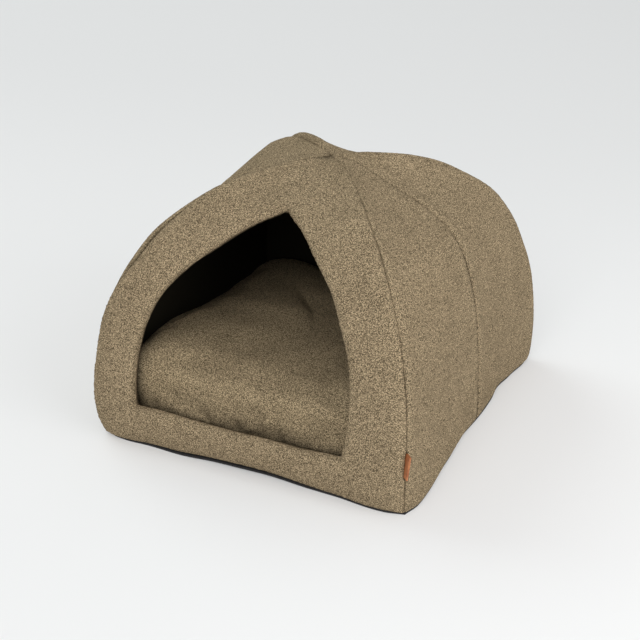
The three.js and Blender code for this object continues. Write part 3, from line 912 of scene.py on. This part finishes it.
def cushion(name, node, finish):
    """A square pillow, blown up, with gathers at its front seam and a crease over its crown."""
    piece = as_piece(name, flat_box(CUSHION_SQUARES, CUSHION_SQUARES), finish)
    move_vertices(piece.data, pillow_points(coordinates(piece.data), PLUMP["smaller"]))
    plumped(piece)
    mesh = piece.data
    mesh.materials.clear()
    mesh.materials.append(finish)
    co = coordinates(mesh)
    co -= vertex_normals(mesh) * (gathered(co) + creased(co))[:, None]
    co[:, 0] = np.clip(co[:, 0], -ROOM["x"], ROOM["x"])
    co[:, 1] = np.clip(co[:, 1], -ROOM["front"], ROOM["back"])
    move_vertices(mesh, co)
    fleece(piece, smooth(*CUSHION_SHOWN, co[:, 2]), SHORT_CURL, SLACK)
    co = coordinates(mesh)
    co[:, 2] = np.maximum(co[:, 2], FOOT)
    move_vertices(mesh, co)
    stand_for(piece, node)


def leather_tab(name, node, finish):
    """A strip of leather folded once, its fold outwards."""
    bm = bmesh.new()
    bmesh.ops.create_grid(bm, size=0.5, **TAB_SQUARES)
    piece = as_piece(name, bm, finish)
    flat = coordinates(piece.data)
    radius = (TAB["thick"] - TAB["leather"]) / 2
    leg = TAB["depth"] - TAB["thick"] / 2 - TAB["trim"]
    arc = math.pi * radius
    along = (flat[:, 0] + 0.5) * (2 * leg + arc)
    turn = np.clip((along - leg) / radius, 0, math.pi)
    fold_at = TAB["depth"] - TAB["root"] - TAB["thick"] / 2
    before = np.minimum(along - leg, 0)
    after = np.maximum(along - leg - arc, 0)
    x = fold_at + np.sin(turn) * radius + before - after
    y = -np.cos(turn) * radius
    local = stacked(x, y, flat[:, 1] * TAB["length"])
    place = np.array(TAB_PLACE)
    move_vertices(piece.data, local @ place[:3, :3].T + place[:3, 3])
    thicken(piece, TAB["leather"])
    soft = piece.modifiers.new("soft_edges", "BEVEL")
    soft.width = TAB_EDGE
    soft.segments = 2
    stand_for(piece, node)
    TAB["length"]


# Materials. A value wraps a shader socket, so that sums and products of values add their nodes.
NOISE_MEAN = 0.5


class Value:
    def __init__(self, finish, socket):
        self.finish = finish
        self.socket = socket

    def maths(self, operation, first, second):
        node = self.finish.node("ShaderNodeMath", {"operation": operation}, {0: first, 1: second})
        return Value(self.finish, node.outputs[0])

    def __add__(self, other):
        return self.maths("ADD", self, other)

    def __sub__(self, other):
        return self.maths("SUBTRACT", self, other)

    def __mul__(self, other):
        return self.maths("MULTIPLY", self, other)

    def __rsub__(self, other):
        return self.maths("SUBTRACT", other, self)

    __radd__ = __add__
    __rmul__ = __mul__

    def eased(self, low, high, start=0.0, end=1.0):
        """start below low, end above high, and smooth between them."""
        node = self.finish.node(
            "ShaderNodeMapRange", {"interpolation_type": "SMOOTHSTEP"},
            {"Value": self, "From Min": low, "From Max": high, "To Min": start, "To Max": end},
        )
        return Value(self.finish, node.outputs["Result"])


class Finish:
    """A material with one principled shader. Patterns read Object coordinates."""

    def __init__(self, name, **sockets):
        self.material = bpy.data.materials.new(name)
        self.material.use_nodes = True
        self.tree = self.material.node_tree
        self.shader = next(n for n in self.tree.nodes if n.type == "BSDF_PRINCIPLED")
        for socket, value in sockets.items():
            self.shader.inputs[socket.replace("_", " ")].default_value = value
        self.place = self.node("ShaderNodeTexCoord").outputs["Object"]

    def node(self, kind, settings=None, inputs=None):
        node = self.tree.nodes.new(kind)
        for key, value in (settings or {}).items():
            setattr(node, key, value)
        for key, value in (inputs or {}).items():
            self.feed(node.inputs[key], value)
        return node

    def feed(self, socket, value):
        if isinstance(value, Value):
            value = value.socket
        if isinstance(value, bpy.types.NodeSocket):
            self.tree.links.new(value, socket)
        else:
            socket.default_value = value

    def mark(self, name):
        """A value kept at each vertex, 0 where a piece has none."""
        return Value(self, self.node("ShaderNodeAttribute", {"attribute_name": name}).outputs["Fac"])

    def noise(self, size, detail, roughness=0.5):
        """Noise of this size, about NOISE_MEAN."""
        node = self.node(
            "ShaderNodeTexNoise", None,
            {"Vector": self.place, "Scale": 1 / size, "Detail": detail, "Roughness": roughness},
        )
        return Value(self, node.outputs["Fac"])

    def tufts(self, size, place=None):
        """Distance from each tuft's middle, and a random value for each tuft."""
        node = self.node("ShaderNodeTexVoronoi", None, {"Vector": place or self.place, "Scale": 1 / size})
        parts = self.node("ShaderNodeSeparateColor", None, {"Color": node.outputs["Color"]})
        return Value(self, node.outputs["Distance"]), Value(self, parts.outputs[0])

    def moved(self, operation, vector, by):
        """A vector after a sum, a difference or a scaling."""
        inputs = {0: vector, "Scale" if operation == "SCALE" else 1: by}
        return self.node("ShaderNodeVectorMath", {"operation": operation}, inputs).outputs[0]

    def stirred(self, size, amount):
        """Object coordinates pushed about by noise."""
        inputs = {"Vector": self.place, "Scale": 1 / size, "Detail": 1.0}
        push = self.node("ShaderNodeTexNoise", None, inputs).outputs["Color"]
        centred = self.moved("SUBTRACT", push, (NOISE_MEAN,) * 3)
        return self.moved("ADD", self.place, self.moved("SCALE", centred, amount))

    def mixed(self, share, first, second):
        """From the first colour to the second, by the node's sockets for colours."""
        node = self.node("ShaderNodeMix", {"data_type": "RGBA"}, {0: share, 6: first, 7: second})
        return node.outputs[2]

    def bump(self, height, depth):
        node = self.node("ShaderNodeBump", None, {"Height": height, "Distance": depth, "Strength": 1.0})
        self.feed(self.shader.inputs["Normal"], node.outputs["Normal"])

    def colour(self, socket):
        self.feed(self.shader.inputs["Base Color"], socket)


def rgb(red, green, blue):
    """A colour as it shows on a screen, 0 to 255, as the shader's linear one."""
    return tuple(((c / 255 + 0.055) / 1.055) ** 2.4 for c in (red, green, blue)) + (1,)


# The fleece's look: its loops' size and what goes by that, the sizes of its slow patches and of the noise
# that breaks up the painted shade in its seams, how much each pattern shifts a loop's tone, where the painted
# shade of the gaps between loops begins and ends, and its relief.
LOOP = 0.0013
LOOP_SHARES = {"stir_size": 1.4, "stir": 0.9, "fibre": 0.42, "relief": 0.17}
PATCH = 0.055
SEAM_SHADE_NOISE = 0.0045
TONE = {"tuft": 0.65, "fibre": 1.8, "patch": 0.25, "range": (-0.25, 0.85)}
GAPS = {"fibre": 0.5, "range": (0.30, 0.72), "share": 0.8}
SEAM_SHADE = (0.30, 0.62, 0.45, 1.35)
RELIEF = {"loop": 0.7, "fibre": 0.5}

# The two colours of the cloth and of the leather meet in this stretch of noise.
CLOUDS = (0.3, 0.7)


def fleece_finish(name, light, middle, dark):
    """Curly fleece: light loops, gaps and seams darkened with painted shade, and a dark lining on the inside
    of the walls, painted near black also as the shade in there.
    """
    finish = Finish(name, Roughness=0.95, Specular_IOR_Level=0.02)
    stirred = finish.stirred(LOOP * LOOP_SHARES["stir_size"], LOOP * LOOP_SHARES["stir"])
    distance, tuft = finish.tufts(LOOP, stirred)
    fibre = finish.noise(LOOP * LOOP_SHARES["fibre"], detail=2.0, roughness=0.7)
    patches = finish.noise(PATCH, detail=1.5)
    fibres = (fibre - NOISE_MEAN) * TONE["fibre"]
    tone = tuft * TONE["tuft"] + fibres + (patches - NOISE_MEAN) * TONE["patch"]
    loops = finish.mixed(tone.eased(*TONE["range"]), middle, light)
    # Painted shade: the gaps between the loops are mixed towards the dark colour, as shade falls in them.
    gaps = (distance + (fibre - NOISE_MEAN) * GAPS["fibre"]).eased(*GAPS["range"])
    gaps_shaded = finish.mixed(gaps * GAPS["share"], loops, dark)
    # Painted shade in the seams' grooves, broken up by noise and mixed towards a dark brown.
    seam = finish.mark("crease") * finish.noise(SEAM_SHADE_NOISE, detail=2.0).eased(*SEAM_SHADE)
    creased = finish.mixed(seam, gaps_shaded, rgb(38, 31, 22))
    # The walls' inner faces are a dark lining, painted near black to stand also for the deep shade inside.
    finish.colour(finish.mixed(finish.mark("lining"), creased, rgb(37, 34, 27)))
    relief = (1 - distance) * RELIEF["loop"] + fibre * RELIEF["fibre"]
    finish.bump(relief, LOOP * LOOP_SHARES["relief"])
    return finish.material


def grained(finish, grain, cloud, dark, light, relief):
    """A fine grain under slow clouds of two colours."""
    distance, _ = finish.tufts(grain)
    clouds = finish.noise(cloud, detail=3.0)
    finish.colour(finish.mixed(clouds.eased(*CLOUDS), dark, light))
    finish.bump(distance, relief)
    return finish.material


def base_finish():
    finish = Finish("black_cloth", Roughness=0.8)
    return grained(finish, 0.0012, 0.004, rgb(14, 14, 16), rgb(34, 33, 34), 0.0003)


def leather_finish():
    finish = Finish("tan_leather", Roughness=0.5, Specular_IOR_Level=0.4)
    return grained(finish, 0.0007, 0.006, rgb(146, 85, 50), rgb(178, 114, 72), 0.00012)


# The studio: a pale floor that gives off some light, less of it further back, the sky's strength, and soft
# lamps: azimuth, elevation, distance, size, watts and colour.
FLOOR = {"half": 12, "grey": 203, "glow": 0.25, "near": -0.2, "far": 1.5, "far_glow": 0.72}
SKY = 0.47
LAMP_AIM = Vector((0, 0, 0.15))
LAMPS = (
    ("key", 74, 28, 2.5, 2.4, 27, (1, 1, 1)),
    ("front", 14, 38, 15, 12, 1080, (1, 1, 1)),
    ("fill", -110, 38, 15, 12, 780, (0.9, 1, 1)),
)


def towards(azimuth_deg, elevation_deg):
    """A direction, its azimuth counted from the front towards the right."""
    azimuth, elevation = math.radians(azimuth_deg), math.radians(elevation_deg)
    flat = math.cos(elevation)
    return Vector((math.sin(azimuth) * flat, -math.cos(azimuth) * flat, math.sin(elevation)))


def soft_lamp(name, azimuth_deg, elevation_deg, distance, size, energy, colour):
    lamp = bpy.data.lights.new(name, "AREA")
    lamp.shape = "DISK"
    lamp.size = size
    lamp.energy = energy
    lamp.color = colour
    light = bpy.data.objects.new(name, lamp)
    light.location = towards(azimuth_deg, elevation_deg) * distance
    light.rotation_euler = (LAMP_AIM - light.location).to_track_quat("-Z", "Y").to_euler()
    bpy.context.scene.collection.objects.link(light)


def studio():
    bm = bmesh.new()
    bmesh.ops.create_grid(bm, x_segments=1, y_segments=1, size=FLOOR["half"])
    paper = Finish("floor_paper", Roughness=0.9)
    paper.shader.inputs["Base Color"].default_value = rgb(*(FLOOR["grey"],) * 3)
    paper.shader.inputs["Emission Strength"].default_value = FLOOR["glow"]
    backwards = Value(paper, paper.node("ShaderNodeSeparateXYZ", None, {"Vector": paper.place}).outputs[1])
    dimmer = (FLOOR["far_glow"],) * 3 + (1,)
    glow = paper.mixed(backwards.eased(FLOOR["near"], FLOOR["far"]), (1, 1, 1, 1), dimmer)
    paper.feed(paper.shader.inputs["Emission Color"], glow)
    floor = as_piece("floor", bm, paper.material)
    world = bpy.data.worlds.new("studio")
    world.use_nodes = True
    background = next(n for n in world.node_tree.nodes if n.type == "BACKGROUND")
    background.inputs["Color"].default_value = (1, 1, 1, 1)
    background.inputs["Strength"].default_value = SKY
    bpy.context.scene.world = world
    for lamp in LAMPS:
        soft_lamp(*lamp)


def camera():
    """The photograph's view, from the right of the front and above, fitted to the bed's own corners."""
    azimuth_deg, elevation_deg, distance, aim = 26.052, 25.378, 2.1716, Vector((0, 0, 0.18))
    focal_px, pan_px, tilt_px, width_px, sensor_mm = 1399.5, -4.389, -27.672, 640, 36
    back = towards(azimuth_deg, elevation_deg)
    right = towards(azimuth_deg + 90, 0)
    turn = Matrix((right, back.cross(right), back)).transposed().to_4x4()
    pan = Matrix.Rotation(-math.atan(pan_px / focal_px), 4, "Y")
    tilt = Matrix.Rotation(math.atan(tilt_px / focal_px), 4, "X")
    lens = bpy.data.cameras.new("camera")
    lens.sensor_width = sensor_mm
    lens.lens = focal_px * sensor_mm / width_px
    lens.clip_start = 0.1
    view = bpy.data.objects.new("camera", lens)
    view.matrix_world = Matrix.Translation(aim + back * distance) @ turn @ pan @ tilt
    bpy.context.scene.collection.objects.link(view)
    bpy.context.scene.camera = view


camera()
studio()
bpy.context.scene.view_settings.view_transform = "Standard"

WALL_FLEECE = fleece_finish("wall_fleece", rgb(205, 183, 148), rgb(116, 101, 79), rgb(45, 38, 28))
CUSHION_FLEECE = fleece_finish("cushion_fleece", rgb(208, 186, 149), rgb(126, 111, 87), rgb(50, 42, 31))

front_wall("front_fleece", "front_panel", WALL_FLEECE)
plain_wall("back_fleece", "back_panel", BACK, WALL_FLEECE)
plain_wall("side_fleece_right_front", "side_right_front", RIGHT_FRONT, WALL_FLEECE, tab_side=1)
plain_wall("side_fleece_right_back", "side_right_back", RIGHT_BACK, WALL_FLEECE)
plain_wall("side_fleece_left_back", "side_left_back", LEFT_BACK, WALL_FLEECE)
plain_wall("side_fleece_left_front", "side_left_front", LEFT_FRONT, WALL_FLEECE)
base_cloth("black_base_cloth", "base_panel", base_finish())
cushion("filled_cushion", "cushion", CUSHION_FLEECE)
leather_tab("folded_tab", "leather_tab", leather_finish())
